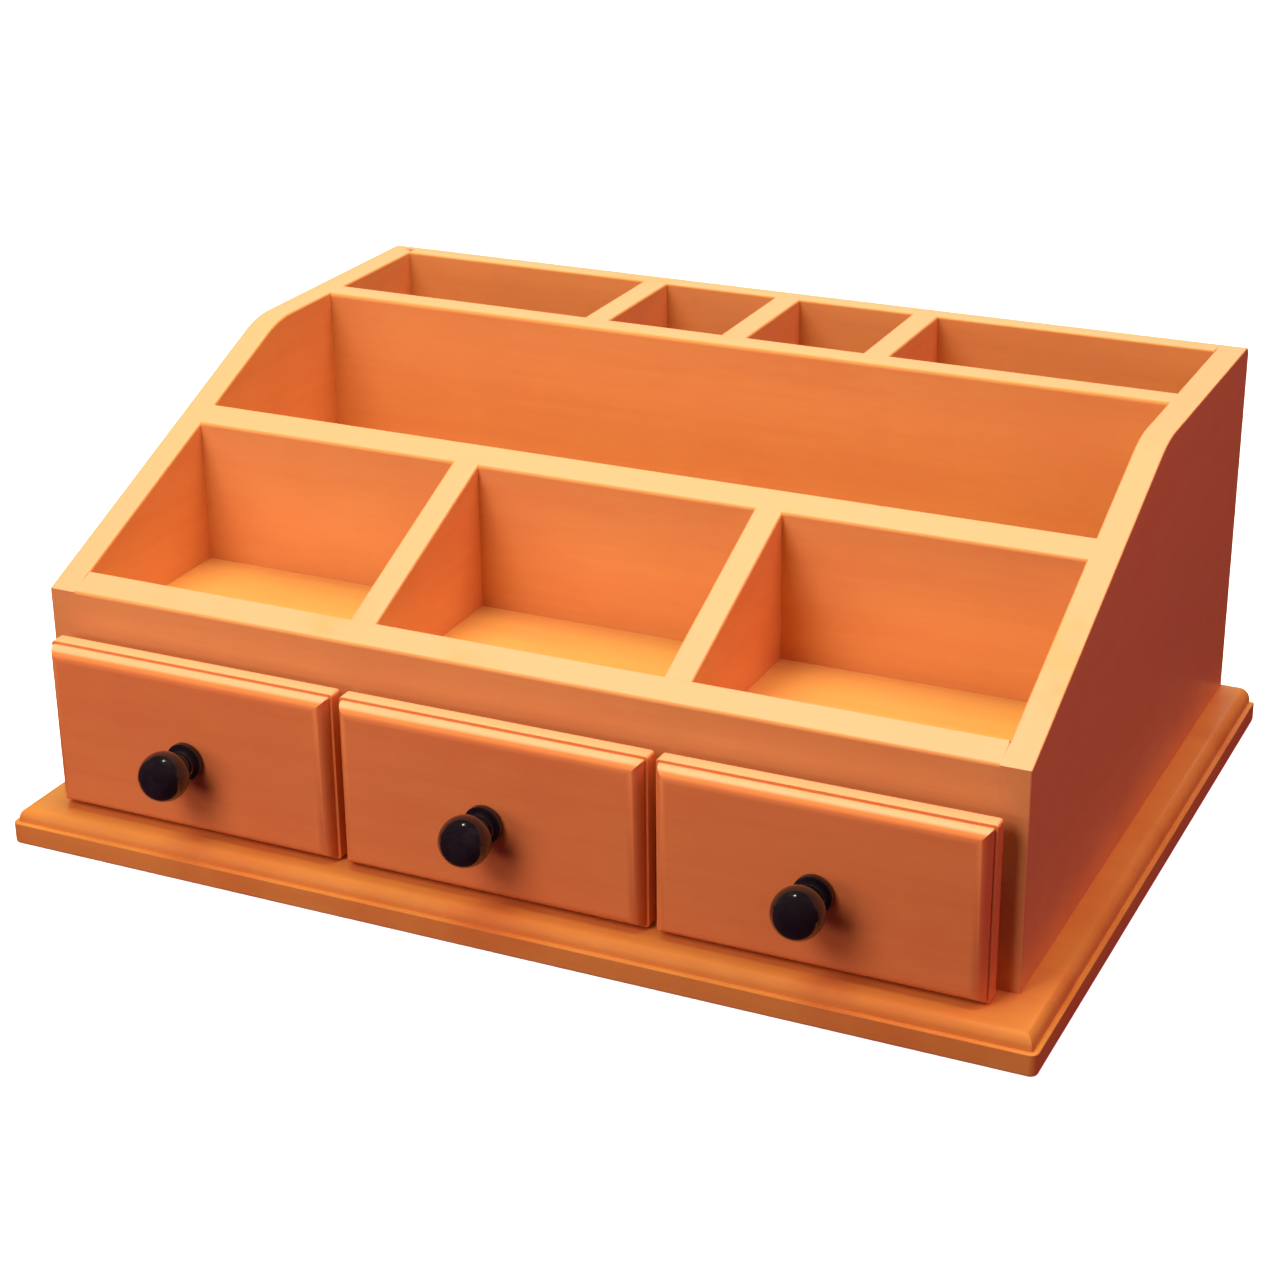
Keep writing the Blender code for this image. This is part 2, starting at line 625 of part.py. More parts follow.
def build_drawer(number, centre):
    """One drawer, on an empty that lies on the line it slides along."""
    prefix = "drawer_%d" % number
    slide = make_empty(prefix + "_slide", (BODY_MIDDLE + centre, BODY_FRONT, BASE_THICKNESS))
    build_drawer_front(prefix, slide)
    for side in (-1, 1):
        build_drawer_side(prefix, side, slide)
    build_drawer_back(prefix, slide)
    build_drawer_floor(prefix, slide)
    face = -FRONT_STAND_OFF - FRONT_THICKNESS
    knob = turn(knob_profile(), TURNED_STEPS)
    bmesh.ops.translate(knob, verts=knob.verts, vec=(0, face - JOINT_GAP, knob_height()))
    finish_piece(prefix + "_knob", knob, BLACK_GLOSS, slide)
    screw = turn(knob_screw_profile(), SCREW_STEPS)
    bmesh.ops.translate(screw, verts=screw.verts, vec=(0, face, knob_height()))
    finish_piece(prefix + "_knob_screw", screw, ZINC, slide)


def main():
    clear_scene()
    body = make_empty("body", (BODY_MIDDLE, BODY_FRONT, 0))
    base = build_base(body)
    sides, partitions, back = build_body(body)
    build_base_screws([base, back] + sides + partitions, body)
    for index in range(DRAWER_COUNT):
        build_drawer(index + 1, bay_centre(index))


main()
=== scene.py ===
"""
Dressing of a desk chest with three drawers and eight open compartments.

The solids of the chest are loaded as a fixed frame. The boards, drawer fronts and knobs that show are
modelled again with soft edges and closed joints. The drawer boxes, the partitions between them and the screws
keep their solids. Every surface gets its own procedural finish, and a plain studio with a camera stands round
the chest. Lengths are metres, +Z is up and -Y is the front.
"""
import math

import bmesh
import bpy
from bpy.props import FloatProperty, FloatVectorProperty, IntProperty, PointerProperty
from mathutils import Matrix, Vector


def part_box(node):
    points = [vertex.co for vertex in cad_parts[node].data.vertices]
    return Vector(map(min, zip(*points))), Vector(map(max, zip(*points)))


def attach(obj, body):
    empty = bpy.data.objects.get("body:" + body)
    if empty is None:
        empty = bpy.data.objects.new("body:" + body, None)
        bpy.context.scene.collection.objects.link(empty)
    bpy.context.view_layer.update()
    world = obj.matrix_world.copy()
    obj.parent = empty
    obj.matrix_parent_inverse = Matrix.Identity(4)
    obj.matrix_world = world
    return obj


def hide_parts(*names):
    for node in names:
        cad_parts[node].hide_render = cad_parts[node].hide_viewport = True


bl_info = {
    "name": "Desk Chest Dresser",
    "version": (1, 0, 0),
    "blender": (4, 5, 0),
    "location": "3D View > Sidebar > Desk Chest",
    "description": "Models a desk chest's boards, drawer fronts and knobs, finishes each piece and lights it",
    "category": "Object",
}

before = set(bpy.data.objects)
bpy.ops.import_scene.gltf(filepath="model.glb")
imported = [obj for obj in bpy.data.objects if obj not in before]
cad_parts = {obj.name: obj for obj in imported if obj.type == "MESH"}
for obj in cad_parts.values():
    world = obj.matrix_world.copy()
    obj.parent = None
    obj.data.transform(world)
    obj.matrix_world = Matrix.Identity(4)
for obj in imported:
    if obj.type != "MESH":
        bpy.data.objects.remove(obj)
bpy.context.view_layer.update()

# Places that every board takes from the frame
BASE_LOW, BASE_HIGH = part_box("base_board")
SIDE_LOW, SIDE_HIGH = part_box("right_side")
INSIDE_LEFT, INSIDE_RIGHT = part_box("left_side")[1].x, SIDE_LOW.x
FASCIA_LOW, FASCIA_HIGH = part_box("front_fascia")
MIDDLE_LOW, MIDDLE_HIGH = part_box("middle_partition")
REAR_LOW, REAR_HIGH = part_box("rear_partition")
BACK_LOW, BACK_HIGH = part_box("back_panel")
SHELF_LOW, SHELF_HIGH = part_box("shelf")
DRAWERS = (1, 2, 3)
Y_AXIS, Z_AXIS = Vector((0, 1, 0)), Vector((0, 0, 1))
SNAP = 0.00002

# Shading: the angle over which an edge stays crisp, the height of the normal of a face that looks up, and
# the weight that large faces have in the shading
SHARP_ANGLE = math.radians(35)
UPWARD_SHARE = 0.85
FACE_WEIGHT = 80

# Facets across the rounds whose facets no group of sizes counts
KNEE_STEPS = 12
BACK_STEPS = 6
BASE_CORNER_STEPS = 10
FOOT_STEPS = 3
FRONT_CORNER_STEPS = 5
LIP_STEPS = 2
SHELF_STEPS = 2
FLANGE_STEPS = 3
COVE_STEPS = 6

# Each kind of board: its stain, how strongly that has blotched, and how strong the painted sheen is that
# makes its faces that look up paler, for the light on them
# The stains named here are one orange, painted lighter for the body and darker for the drawer fronts, with
# the base in between, for the light that reached each
BOARDS = {
    "body": ("body_stain", 0.25, 1.0),
    "floor": ("body_stain", 0.25, 0.0),
    "front": ("front_stain", 0.35, 1.0),
    "base": ("base_stain", 0.8, 0.0),
}

# Noise in the finishes: even patches by their scale, and those along the grain by length and width
MOTTLE, HAZE, SPOTS, SPECKS = 28, 160, 900, 3
STREAKS, FIBRES = (0.11, 0.006), (0.012, 0.0006)
GROWTH_LINES, PORES = (0.16, 0.003), (0.010, 0.0005)

# How much smoother and rougher than its middle value the varnish gets
SMOOTHER, ROUGHER = 0.05, 0.07

# What dark lines keep of bare wood's red, green and blue, what dull spots keep of the zinc, and how the
# haze on the knobs is lighter than their black
BARE_SHADE = (0.80, 0.72, 0.62)
DULL_SHARE = 0.72
HAZE_GAIN, HAZE_LIFT = 2.5, 0.004

# Studio: sensor in millimetres, clipping distances, the floor, and the light that only the floor receives
SENSOR_WIDTH = 36.0
CLIP_START, CLIP_END = 0.02, 50.0
FLOOR_REACH = 6.0
FLOOR_PALE, FLOOR_DARKER = (0.94, 0.94, 0.94), (0.90, 0.90, 0.90)
FLOOD_HEIGHT, FLOOD_SIZE = 3.0, (8.0, 8.0)
WHITE = (1.0, 1.0, 1.0)

# Studio lights: name, place, what they aim at, size, and whether the gloss mirrors them
LIGHTS = (
    ("key", (-0.30, -0.85, 0.75), (-0.05, 0.0, 0.05), (0.50, 0.50), False),
    ("top", (-0.10, 0.15, 1.30), (0.0, 0.0, 0.08), (1.0, 1.0), False),
    ("front", (-0.45, -1.00, 0.25), (0.0, 0.0, 0.05), (0.6, 0.3), False),
    ("back", (-0.40, 1.50, 0.75), (0.0, 0.0, 0.10), (1.8, 0.7), True),
    ("right", (0.95, 0.00, 0.95), (0.0, 0.0, 0.06), (0.8, 0.8), False),
    ("spark", (-0.15, 0.05, 1.00), (0.0, -0.1, 0.05), (0.12, 0.12), True),
)


# ---------------------------------------------------------------- sizes and colours that a user may change

class ChestSizes(bpy.types.PropertyGroup):
    """Outline of the chest's boards."""
    front_height: FloatProperty(
        name="Front Height", description="Height of the sides' front edge above the desk",
        default=0.0835, min=0.05, max=0.12, unit="LENGTH")
    knee_depth: FloatProperty(
        name="Knee Depth", description="Depth at which the slope of the sides would meet the level top",
        default=0.1305, min=0.05, max=0.2, unit="LENGTH")
    knee_radius: FloatProperty(
        name="Knee Radius", description="Radius of the soft bend between slope and level top",
        default=0.035, min=0.001, max=0.1, unit="LENGTH")
    back_radius: FloatProperty(
        name="Back Radius", description="Radius of the top edge at the back",
        default=0.003, min=0.0005, max=0.006, unit="LENGTH")
    inner_arris: FloatProperty(
        name="Inner Arris", description="Sanded rounding of the edges round the compartments",
        default=0.0009, min=0.0002, max=0.002, unit="LENGTH")
    rear_round: FloatProperty(
        name="Rear Round", description="Rounding of the rear partition's upper front edge",
        default=0.0018, min=0.0005, max=0.004, unit="LENGTH")
    outer_arris: FloatProperty(
        name="Outer Arris", description="Sanded rounding of the outer edges",
        default=0.0005, min=0.0002, max=0.002, unit="LENGTH")
    arris_steps: IntProperty(
        name="Arris Steps", description="Facets across a sanded edge", default=4, min=1, max=8)


class MouldingSizes(bpy.types.PropertyGroup):
    """Profiles of the base's edge and of the drawer fronts."""
    base_corner: FloatProperty(
        name="Base Corner", description="Radius of the base's front corners seen from above",
        default=0.0025, min=0.001, max=0.02, unit="LENGTH")
    base_edge: FloatProperty(
        name="Base Edge", description="Height of the square part of the base's edge",
        default=0.0073, min=0.002, max=0.01, unit="LENGTH")
    base_foot: FloatProperty(
        name="Base Foot", description="Rounding of the base's lower edge",
        default=0.0008, min=0.0002, max=0.002, unit="LENGTH")
    base_ledge: FloatProperty(
        name="Base Ledge", description="Width of the flat step on the base's edge",
        default=0.0017, min=0.0005, max=0.004, unit="LENGTH")
    base_quirk: FloatProperty(
        name="Base Quirk", description="Height of the upright step behind the ledge",
        default=0.0008, min=0.0002, max=0.002, unit="LENGTH")
    base_round: FloatProperty(
        name="Base Round", description="Width of the base's round over",
        default=0.0042, min=0.001, max=0.006, unit="LENGTH")
    front_lip: FloatProperty(
        name="Front Lip", description="Thickness of the drawer front's square lip",
        default=0.0048, min=0.002, max=0.007, unit="LENGTH")
    front_quirk: FloatProperty(
        name="Front Quirk", description="Width of the flat step on the drawer front",
        default=0.0010, min=0.0003, max=0.003, unit="LENGTH")
    front_round: FloatProperty(
        name="Front Round", description="Width of the drawer front's round over",
        default=0.0040, min=0.001, max=0.006, unit="LENGTH")
    front_corner: FloatProperty(
        name="Front Corner", description="Radius of the lip's four corners",
        default=0.0012, min=0.0003, max=0.004, unit="LENGTH")
    lip_ease: FloatProperty(
        name="Lip Ease", description="Rounding of the lip's front edge",
        default=0.0003, min=0.0001, max=0.001, unit="LENGTH")
    round_steps: IntProperty(
        name="Round Steps", description="Facets across a round over", default=8, min=3, max=16)


class KnobSizes(bpy.types.PropertyGroup):
    """Turned ball knob."""
    ball_radius: FloatProperty(
        name="Ball Radius", description="Radius of the ball",
        default=0.0081, min=0.004, max=0.012, unit="LENGTH")
    reach: FloatProperty(
        name="Reach", description="Distance of the ball's centre from the drawer front",
        default=0.0127, min=0.008, max=0.02, unit="LENGTH")
    flange_radius: FloatProperty(
        name="Flange Radius", description="Radius of the disc against the drawer front",
        default=0.0063, min=0.003, max=0.01, unit="LENGTH")
    flange_thickness: FloatProperty(
        name="Flange Thickness", description="Thickness of the disc",
        default=0.0022, min=0.001, max=0.004, unit="LENGTH")
    neck_radius: FloatProperty(
        name="Neck Radius", description="Radius of the neck behind the ball",
        default=0.0040, min=0.002, max=0.006, unit="LENGTH")
    cove: FloatProperty(
        name="Cove", description="Radius of the hollow between disc and neck",
        default=0.0012, min=0.0005, max=0.003, unit="LENGTH")
    steps: IntProperty(name="Steps", description="Facets round the knob", default=72, min=24, max=128)


class FinishColours(bpy.types.PropertyGroup):
    """Colours of the stain in its lit and shaded copies, of its painted sheen, and of bare wood, gloss and
    metal.
    """
    # Painted light and shade: one orange stain, made lighter for the body's boards and darker for the drawer
    # fronts, with the base in between, for how much light reached each
    body_stain: FloatVectorProperty(
        name="Body Stain", description="Orange stain of the body's boards", subtype="COLOR", size=3,
        default=(0.76, 0.37, 0.092), min=0.0, max=1.0)
    front_stain: FloatVectorProperty(
        name="Front Stain", description="Orange stain of the drawer fronts", subtype="COLOR", size=3,
        default=(0.76, 0.28, 0.064), min=0.0, max=1.0)
    base_stain: FloatVectorProperty(
        name="Base Stain", description="Orange stain of the base board", subtype="COLOR", size=3,
        default=(0.74, 0.32, 0.055), min=0.0, max=1.0)
    # Painted sheen: the paler colour laid on faces that look up and their rounded edges, for the light on the
    # tops
    worn_stain: FloatVectorProperty(
        name="Top Sheen Colour", description="Colour of the stain where upper edges are sanded thin",
        subtype="COLOR", size=3, default=(0.92, 0.42, 0.19), min=0.0, max=1.0)
    shade_share: FloatVectorProperty(
        name="Shade Share", description="What the darker patches keep of the stain's red, green and blue",
        size=3, default=(0.90, 0.70, 0.72), min=0.0, max=1.0)
    bare_wood: FloatVectorProperty(
        name="Bare Wood", description="Unstained board of the drawer boxes", subtype="COLOR", size=3,
        default=(0.72, 0.46, 0.22), min=0.0, max=1.0)
    knob: FloatVectorProperty(
        name="Knob", description="Gloss black of the knobs", subtype="COLOR", size=3,
        default=(0.006, 0.006, 0.007), min=0.0, max=1.0)
    zinc: FloatVectorProperty(
        name="Zinc", description="Plated screws", subtype="COLOR", size=3,
        default=(0.62, 0.62, 0.60), min=0.0, max=1.0)
    varnish_roughness: FloatProperty(
        name="Varnish Roughness", description="Roughness of the satin varnish", subtype="FACTOR",
        default=0.42, min=0.0, max=1.0)


class StudioSettings(bpy.types.PropertyGroup):
    """Camera and lights."""
    camera_place: FloatVectorProperty(
        name="Camera Place", description="Where the camera stands", subtype="TRANSLATION", size=3,
        unit="LENGTH", default=(0.3545, -0.76175, 0.4225))
    camera_turn: FloatVectorProperty(
        name="Camera Turn", description="Yaw, pitch and roll of the camera", subtype="EULER", size=3,
        unit="ROTATION", default=(math.radians(25.16), math.radians(-23.64), math.radians(-0.57)))
    lens: FloatProperty(
        name="Lens", description="Focal length in millimetres on a 36 mm sensor",
        default=77.30, min=10, max=200)
    key_power: FloatProperty(
        name="Key Power", description="Power of the light at the upper left", subtype="POWER",
        default=7.5, min=0.0, max=200.0)
    key_colour: FloatVectorProperty(
        name="Key Colour", description="Colour of the key light", subtype="COLOR", size=3,
        default=(0.92, 0.63, 0.87), min=0.0, max=1.0)
    top_power: FloatProperty(
        name="Top Power", description="Power of the overhead light", subtype="POWER",
        default=22.0, min=0.0, max=200.0)
    top_colour: FloatVectorProperty(
        name="Top Colour", description="Colour of the overhead light", subtype="COLOR", size=3,
        default=(0.80, 1.0, 0.65), min=0.0, max=1.0)
    front_power: FloatProperty(
        name="Front Power", description="Power of the low light at the front left", subtype="POWER",
        default=2.9, min=0.0, max=200.0)
    front_colour: FloatVectorProperty(
        name="Front Colour", description="Colour of the front light", subtype="COLOR", size=3,
        default=(1.0, 0.63, 0.87), min=0.0, max=1.0)
    back_power: FloatProperty(
        name="Back Power", description="Power of the wide light behind the chest", subtype="POWER",
        default=2.5, min=0.0, max=200.0)
    back_colour: FloatVectorProperty(
        name="Back Colour", description="Colour of the light behind the chest", subtype="COLOR", size=3,
        default=(1.0, 0.9, 0.9), min=0.0, max=1.0)
    right_power: FloatProperty(
        name="Right Power", description="Power of the light at the right", subtype="POWER",
        default=8.0, min=0.0, max=200.0)
    right_colour: FloatVectorProperty(
        name="Right Colour", description="Colour of the light at the right", subtype="COLOR", size=3,
        default=(1.0, 0.27, 0.62), min=0.0, max=1.0)
    spark_power: FloatProperty(
        name="Spark Power", description="Power of the small lamp that the knobs mirror", subtype="POWER",
        default=0.6, min=0.0, max=20.0)
    spark_colour: FloatVectorProperty(
        name="Spark Colour", description="Colour of the lamp that the knobs mirror", subtype="COLOR", size=3,
        default=(1.0, 0.95, 0.6), min=0.0, max=1.0)
    fill_strength: FloatProperty(
        name="Fill Strength", description="Strength of the light from all round",
        default=0.07, min=0.0, max=5.0)
    fill_colour: FloatVectorProperty(
        name="Fill Colour", description="Colour of the light from all round", subtype="COLOR", size=3,
        default=(1.0, 0.25, 0.4), min=0.0, max=1.0)
    floor_power: FloatProperty(
        name="Floor Power", description="Power of the light that only the floor receives", subtype="POWER",
        default=300.0, min=0.0, max=600.0)


# ---------------------------------------------------------------- modelling with bmesh operators

def block(low, high):
    """A bmesh of one cube stretched between two corners."""
    low, high = Vector(low), Vector(high)
    bm = bmesh.new()
    bmesh.ops.create_cube(bm, size=1.0)
    bmesh.ops.scale(bm, vec=high - low, verts=bm.verts)
    bmesh.ops.translate(bm, vec=(low + high) / 2, verts=bm.verts)
    bm.normal_update()
    return bm


def saw(bm, place, normal):
    """Cut off what lies beyond a plane and close the cut."""
    everything = bm.verts[:] + bm.edges[:] + bm.faces[:]
    sawn = bmesh.ops.bisect_plane(bm, geom=everything, plane_co=place, plane_no=normal, clear_outer=True)
    rim = [item for item in sawn["geom_cut"] if isinstance(item, bmesh.types.BMEdge)]
    bmesh.ops.edgenet_fill(bm, edges=rim)


def score(bm, place, normal):
    """Cut a line of edges round a shape without taking anything off."""
    bmesh.ops.bisect_plane(bm, geom=bm.verts[:] + bm.edges[:] + bm.faces[:], plane_co=place, plane_no=normal)


def round_edges(bm, wanted, width, steps):
    """Round the edges that the test picks."""
    edges = [edge for edge in bm.edges if wanted(edge)]
    bmesh.ops.bevel(bm, geom=edges, offset=width, offset_type="OFFSET", segments=steps, profile=0.5,
                    affect="EDGES", clamp_overlap=True, material=-1)
    bm.normal_update()


def at(edge, axis, place):
    """True if both ends of an edge lie at a place along an axis."""
    return all(abs(vert.co[axis] - place) < SNAP for vert in edge.verts)


def along(edge, axis):
    """True if an edge runs along an axis."""
    start, end = edge.verts
    return all(abs(start.co[other] - end.co[other]) < SNAP for other in range(3) if other != axis)


def middle(edge):
    return (edge.verts[0].co + edge.verts[1].co) / 2


def quarter_round(width, rise, steps):
    """Steps of (inset, rise) up a round over, steep at its start and level at its end."""
    angles = [math.pi / 2 * step / steps for step in range(steps + 1)]
    return [(width * (math.cos(first) - math.cos(second)), rise * (math.sin(second) - math.sin(first)))
            for first, second in zip(angles, angles[1:])]


def mould(bm, direction, steps, merge):
    """Step a block's face in and out along a moulding's profile, and merge corners that shrink away."""
    for inset, rise in steps:
        bmesh.ops.inset_region(bm, faces=[field(bm, direction)], thickness=inset, depth=rise,
                               use_even_offset=True, use_boundary=True)
        bmesh.ops.remove_doubles(bm, verts=field(bm, direction).verts[:], dist=merge)
        bm.normal_update()


def field(bm, direction):
    """The large face that looks along a direction and lies furthest along it."""
    level = [face for face in bm.faces if face.normal.dot(direction) > 1 - SNAP]
    furthest = max(face.calc_center_median().dot(direction) for face in level)
    return max((face for face in level if face.calc_center_median().dot(direction) > furthest - SNAP),
               key=lambda face: face.calc_area())


def spun(profile, steps):
    """Spin a profile of (radius, depth) points about a line along -Y."""
    bm = bmesh.new()
    verts = [bm.verts.new((radius, -depth, 0)) for radius, depth in profile]
    for first, second in zip(verts, verts[1:]):
        bm.edges.new((first, second))
    bmesh.ops.spin(bm, geom=bm.verts[:] + bm.edges[:], cent=(0, 0, 0), axis=(0, 1, 0),
                   angle=2 * math.pi, steps=steps, use_merge=True)
    bmesh.ops.remove_doubles(bm, verts=bm.verts, dist=SNAP)
    bmesh.ops.recalc_face_normals(bm, faces=bm.faces)
    return bm


def mark_top_sheen(bm):
    """Note the face corners that a face looking up bends smoothly into. A painted sheen makes the stain paler
    there, for the light that falls on the tops.
    """
    wear = bm.loops.layers.float.new("wear")
    for vert in bm.verts:
        upward = [face for face in vert.link_faces if face.normal.z > UPWARD_SHARE]
        for corner in vert.link_loops:
            if any(face.normal.angle(corner.face.normal) < SHARP_ANGLE for face in upward):
                corner[wear] = 1.0


def fit_piece(name, bm, finish, body, slot, *nodes):
    """Turn a bmesh into a shown piece that rides on a body and stands for some of the frame's nodes."""
    # Mark the faces that look up, where the painted sheen goes
    mark_top_sheen(bm)
    for edge in bm.edges:
        edge.smooth = edge.calc_face_angle(0.0) < SHARP_ANGLE
    mesh = bpy.data.meshes.new(name)
    bm.to_mesh(mesh)
    bm.free()
    for polygon in mesh.polygons:
        polygon.use_smooth = True
    mesh.materials.append(finish)
    piece = bpy.data.objects.new(name, mesh)
    bpy.context.scene.collection.objects.link(piece)
    shading = piece.modifiers.new("even_shading", "WEIGHTED_NORMAL")
    shading.weight = FACE_WEIGHT
    shading.keep_sharp = True
    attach(piece, body)
    if nodes:
        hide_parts(*nodes)
    return piece


def finish_node(node, finish):
    """Give a node of the frame a finish of its own."""
    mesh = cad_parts[node].data
    mesh.materials.clear()
    mesh.materials.append(finish)


# ---------------------------------------------------------------- finishes

def add_node(tree, kind, values=None, **settings):
    """Add a shader node, set its properties, then its sockets."""
    node = tree.nodes.new(kind)
    for name, value in settings.items():
        setattr(node, name, value)
    for socket, value in (values or {}).items():
        node.inputs[socket].default_value = value
    return node


def new_finish(name, sockets):
    """A material with a Principled shader whose even values are set, and its Object coordinates."""
    finish = bpy.data.materials.new(name)
    finish.use_nodes = True
    tree = finish.node_tree
    shader = tree.nodes["Principled BSDF"]
    for socket, value in sockets.items():
        shader.inputs[socket].default_value = value
    coordinates = add_node(tree, "ShaderNodeTexCoord")
    return finish, tree, shader, coordinates.outputs["Object"]


def noise(tree, coordinates, stretch, detail, roughness=0.55):
    """Noise on coordinates that are stretched along the grain."""
    mapping = add_node(tree, "ShaderNodeMapping", {"Scale": stretch})
    texture = add_node(tree, "ShaderNodeTexNoise", {"Scale": 1.0, "Detail": detail, "Roughness": roughness})
    tree.links.new(coordinates, mapping.inputs["Vector"])
    tree.links.new(mapping.outputs["Vector"], texture.inputs["Vector"])
    return texture.outputs["Fac"]


def spread(tree, value, low, high, to_low, to_high):
    """Map a value's middle range to a new range."""
    node = add_node(tree, "ShaderNodeMapRange",
                    {"From Min": low, "From Max": high, "To Min": to_low, "To Max": to_high},
                    interpolation_type="SMOOTHSTEP")
    tree.links.new(value, node.inputs["Value"])
    return node.outputs["Result"]


def mix(tree, share, first, second, blend="MIX"):
    """Mix two colours, each a socket or a plain colour."""
    node = add_node(tree, "ShaderNodeMix", data_type="RGBA", blend_type=blend)
    inputs = [socket for socket in node.inputs if socket.enabled]
    for socket, value in zip(inputs, (share, first, second)):
        if isinstance(value, bpy.types.NodeSocket):
            tree.links.new(value, socket)
        elif isinstance(value, float):
            socket.default_value = value
        else:
            socket.default_value = (*value, 1.0)
    return next(socket for socket in node.outputs if socket.enabled)


def bump(tree, shader, height, strength, distance):
    """Feed a height into the shader's normal."""
    node = add_node(tree, "ShaderNodeBump", {"Strength": strength, "Distance": distance})
    tree.links.new(height, node.inputs["Height"])
    tree.links.new(node.outputs["Normal"], shader.inputs["Normal"])


def along_grain(axis, length, width):
    """Scale of a noise whose patches are long along one axis."""
    stretch = [1 / width] * 3
    stretch[axis] = 1 / length
    return tuple(stretch)


def stained_board(name, axis, colours, board):
    """Orange stain under satin varnish: soft mottling, faint streaks along the grain, fine fibres, and a
    painted sheen that makes faces looking up paler.
    """
    stain_name, blotch, wear = BOARDS[board]
    stain = getattr(colours, stain_name)
    darker = [value * share for value, share in zip(stain, colours.shade_share)]
    finish, tree, shader, coordinates = new_finish(name, {
        "IOR": 1.45, "Coat Weight": 0.25, "Coat Roughness": 0.30, "Coat IOR": 1.5})
    mottle = noise(tree, coordinates, (MOTTLE,) * 3, 3.0)
    streaks = noise(tree, coordinates, along_grain(axis, *STREAKS), 4.0)
    fibres = noise(tree, coordinates, along_grain(axis, *FIBRES), 2.0)
    shade = spread(tree, mottle, 0.35, 0.75, 0.0, blotch)
    colour = mix(tree, shade, stain, darker)
    colour = mix(tree, spread(tree, streaks, 0.42, 0.72, 0.0, 0.25), colour, darker)
    colour = mix(tree, spread(tree, fibres, 0.3, 0.7, 0.0, 0.15), colour, darker)
    # Painted sheen: faces that look up turn paler in patches, standing for the light that falls on the tops
    if wear:
        sheen_mask = add_node(tree, "ShaderNodeAttribute", attribute_name="wear").outputs["Fac"]
        patchy_sheen = spread(tree, mottle, 0.1, 0.45, 0.0, wear)
        share = add_node(tree, "ShaderNodeMath", operation="MULTIPLY")
        tree.links.new(sheen_mask, share.inputs[0])
        tree.links.new(patchy_sheen, share.inputs[1])
        colour = mix(tree, share.outputs["Value"], colour, colours.worn_stain)
    tree.links.new(colour, shader.inputs["Base Color"])
    rough = colours.varnish_roughness
    tree.links.new(spread(tree, mottle, 0.3, 0.7, rough - SMOOTHER, rough + ROUGHER),
                   shader.inputs["Roughness"])
    bump(tree, shader, fibres, 0.10, 0.0002)
    return finish


def bare_board(name, axis, colours):
    """Plain pale board: growth lines along its length, darker pores and a dry surface."""
    finish, tree, shader, coordinates = new_finish(name, {"IOR": 1.45})
    lines = noise(tree, coordinates, along_grain(axis, *GROWTH_LINES), 5.0)
    pores = noise(tree, coordinates, along_grain(axis, *PORES), 3.0)
    dark = [value * share for value, share in zip(colours.bare_wood, BARE_SHADE)]
    colour = mix(tree, spread(tree, lines, 0.40, 0.66, 0.0, 0.8), colours.bare_wood, dark)
    colour = mix(tree, spread(tree, pores, 0.56, 0.74, 0.0, 0.45), colour, dark)
    tree.links.new(colour, shader.inputs["Base Color"])
    tree.links.new(spread(tree, lines, 0.3, 0.7, 0.58, 0.72), shader.inputs["Roughness"])
    bump(tree, shader, pores, 0.25, 0.0002)
    return finish


def knob_gloss(colours):
    """Gloss black lacquer with a trace of polish haze."""
    finish, tree, shader, coordinates = new_finish("knob_gloss", {"IOR": 1.5, "Coat Weight": 0.6,
                                                                   "Coat Roughness": 0.05})
    haze = noise(tree, coordinates, (HAZE,) * 3, 3.0)
    lighter = [value * HAZE_GAIN + HAZE_LIFT for value in colours.knob]
    tree.links.new(mix(tree, spread(tree, haze, 0.4, 0.7, 0.0, 0.5), colours.knob, lighter),
                   shader.inputs["Base Color"])
    tree.links.new(spread(tree, haze, 0.3, 0.7, 0.10, 0.20), shader.inputs["Roughness"])
    bump(tree, shader, haze, 0.02, 0.0003)
    return finish


def plated_zinc(colours):
    """Bright zinc with dull spots and a fine speckled bump."""
    finish, tree, shader, coordinates = new_finish("plated_zinc", {"Metallic": 1.0})
    spots = noise(tree, coordinates, (SPOTS,) * 3, 3.0)
    dull = [value * DULL_SHARE for value in colours.zinc]
    tree.links.new(mix(tree, spread(tree, spots, 0.45, 0.7, 0.0, 0.7), colours.zinc, dull),
                   shader.inputs["Base Color"])
    tree.links.new(spread(tree, spots, 0.3, 0.7, 0.25, 0.45), shader.inputs["Roughness"])
    bump(tree, shader, spots, 0.1, 0.0001)
    return finish


def shared(name, make, *details):
    """A finish by name, made the first time that it is asked for."""
    return bpy.data.materials.get(name) or make(*details)


def case_finish(board, axis, colours):
    """The stain of one kind of board, with its grain along X, Y or Z."""
    name = f"{board}_stain_{'xyz'[axis]}"
    return shared(name, stained_board, name, axis, colours, board)


def box_finish(axis, colours):
    name = "bare_board_" + "xyz"[axis]
    return shared(name, bare_board, name, axis, colours)


# ---------------------------------------------------------------- outlines shared by the boards

def slope_angle(sizes):
    return math.atan2(SIDE_HIGH.z - sizes.front_height, sizes.knee_depth)


def saw_slope(bm, sizes):
    """Saw a board along the sides' slope."""
    angle = slope_angle(sizes)
    saw(bm, (0, SIDE_LOW.y, sizes.front_height), (0, -math.sin(angle), math.cos(angle)))


# ---------------------------------------------------------------- operators

